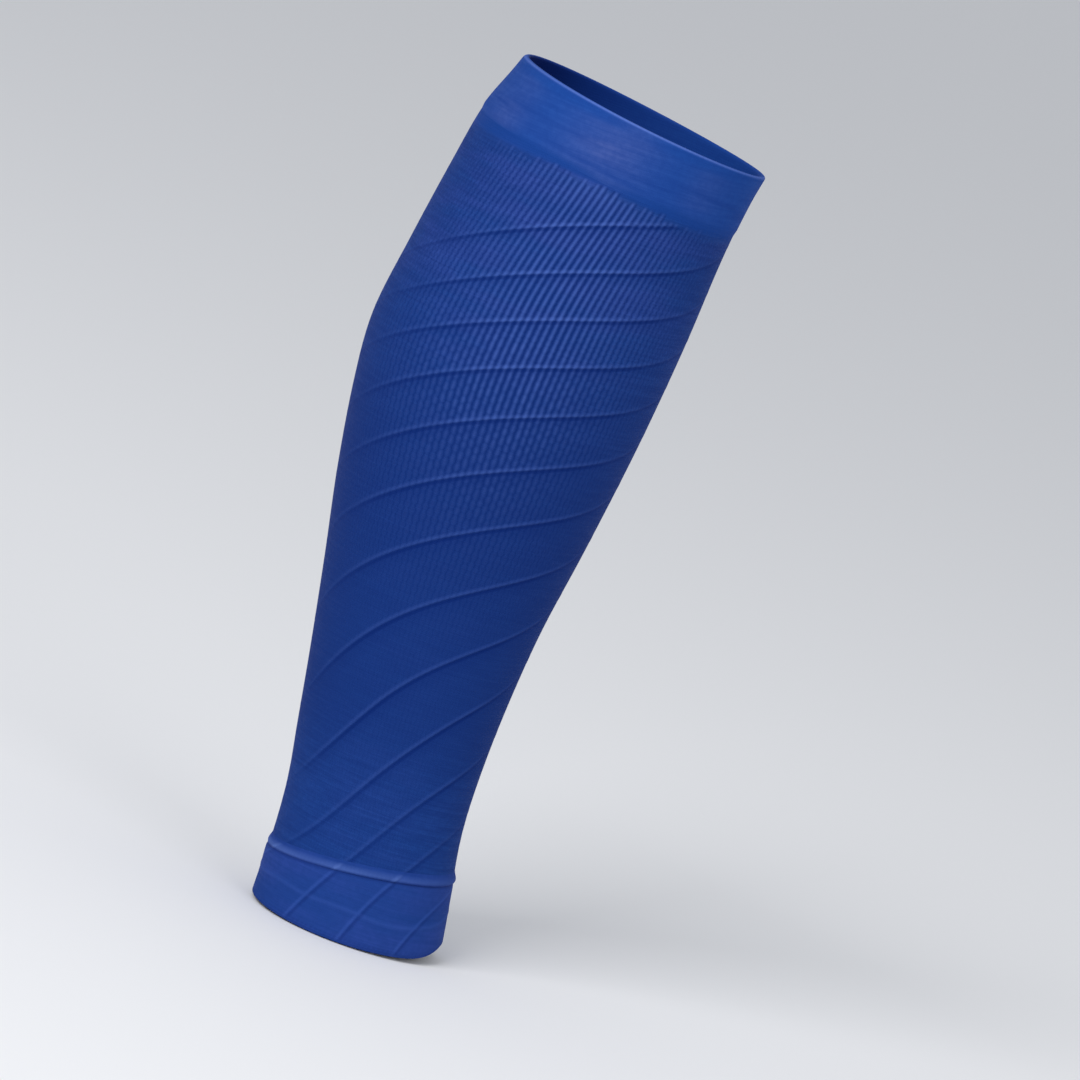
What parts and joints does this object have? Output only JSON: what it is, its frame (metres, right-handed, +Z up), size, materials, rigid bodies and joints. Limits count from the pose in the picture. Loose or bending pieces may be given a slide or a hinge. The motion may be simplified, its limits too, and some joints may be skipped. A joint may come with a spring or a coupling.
{
  "type": "calf compression sleeve",
  "caption": "Footless knitted sleeve shaped to a calf: doubled band below the knee, ribbed leg with raised spiral ridges, rolled fold line and doubled ankle cuff",
  "frame": {"origin": "the middle of the ankle opening, on the axis of the leg that the sleeve is worn on", "axes": "+Z runs up the leg to the knee opening, +X points forward to the shin, so -X is the calf muscle, and Y runs across the leg"},
  "size_m": [0.1224, 0.1077, 0.3395],
  "materials": {
    "band_knit": "smooth close knit, slight sheen",
    "ribbed_knit": "fine vertical ribs, matte",
    "fold_knit": "rolled knit edge, slight sheen",
    "cuff_knit": "smooth close knit, matte"
  },
  "bodies": {
    "root": {"knee_band": "band_knit", "leg_tube": "ribbed_knit", "ankle_fold": "fold_knit", "ankle_cuff": "cuff_knit"}
  },
  "joints": []
}
